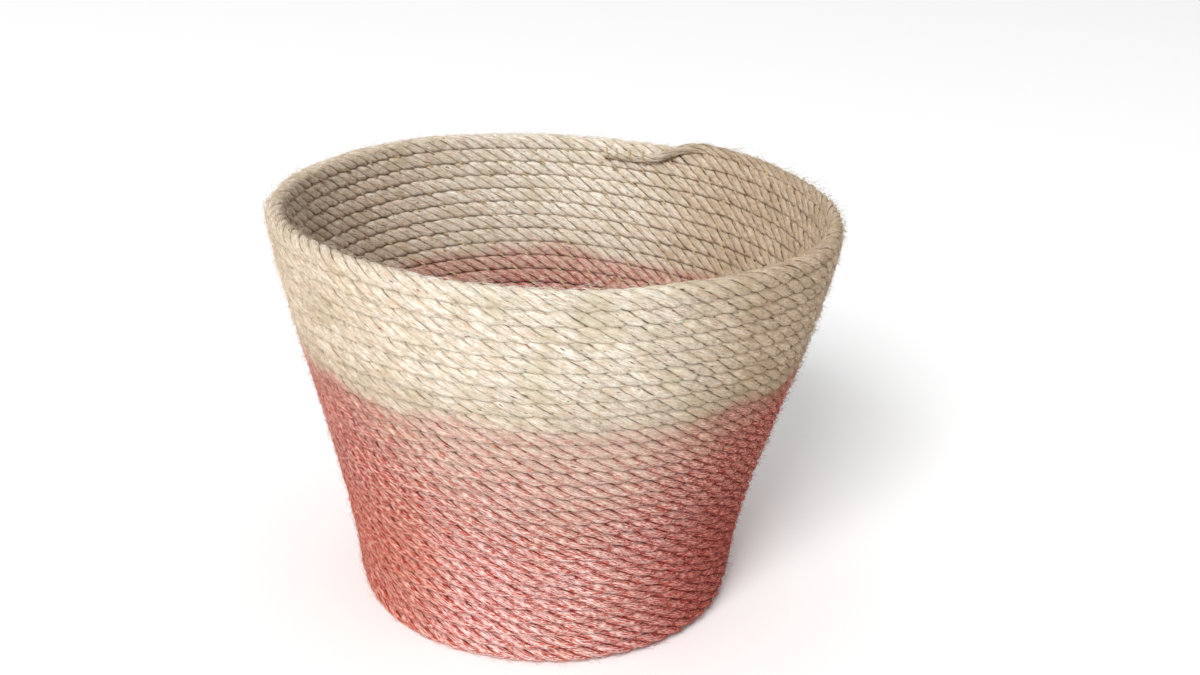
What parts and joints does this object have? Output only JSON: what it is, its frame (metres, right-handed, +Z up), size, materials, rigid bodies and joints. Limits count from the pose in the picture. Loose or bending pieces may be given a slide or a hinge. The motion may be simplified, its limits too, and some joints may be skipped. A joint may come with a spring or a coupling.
{
  "type": "storage basket",
  "caption": "Round open storage basket of coiled, laid natural-fibre rope, narrow foot, flared wall, plain rim, lower part dyed in a soft fade.",
  "frame": {"origin": "middle of the foot, on the floor", "axes": "+Z up along the basket's round axis; +X to the right and +Y away from the usual front view; the rope's end lies between +X and +Y"},
  "size_m": [0.3999, 0.4, 0.295],
  "materials": {
    "natural_rope": "undyed cream to straw plant fibre, matte, hairy",
    "faded_rope": "cream fibre speckled with coral dye, matte, hairy",
    "dyed_rope": "coral to terracotta dyed fibre with paler crowns, matte, hairy",
    "twine": "thin undyed twine, matte"
  },
  "bodies": {
    "root": {"base_heart": "dyed_rope", "base_round_1": "dyed_rope", "base_round_2": "dyed_rope", "base_round_3": "dyed_rope", "base_round_4": "dyed_rope", "base_round_5": "dyed_rope", "base_round_6": "dyed_rope", "base_round_7": "dyed_rope", "base_round_8": "dyed_rope", "base_round_9": "dyed_rope", "base_round_10": "dyed_rope", "wall_round_01": "dyed_rope", "wall_round_02": "dyed_rope", "wall_round_03": "dyed_rope", "wall_round_04": "dyed_rope", "wall_round_05": "dyed_rope", "wall_round_06": "dyed_rope", "wall_round_07": "dyed_rope", "wall_round_08": "dyed_rope", "wall_round_09": "dyed_rope", "wall_round_10": "dyed_rope", "wall_round_11": "dyed_rope", "wall_round_12": "dyed_rope", "wall_round_13": "dyed_rope", "wall_round_14": "faded_rope", "wall_round_15": "faded_rope", "wall_round_16": "faded_rope", "wall_round_17": "faded_rope", "wall_round_18": "faded_rope", "wall_round_19": "faded_rope", "wall_round_20": "natural_rope", "wall_round_21": "natural_rope", "wall_round_22": "natural_rope", "wall_round_23": "natural_rope", "wall_round_24": "natural_rope", "wall_round_25": "natural_rope", "wall_round_26": "natural_rope", "rim_round": "natural_rope", "rope_tail": "natural_rope", "base_lacing": "twine", "wall_lacing": "twine"}
  },
  "joints": []
}
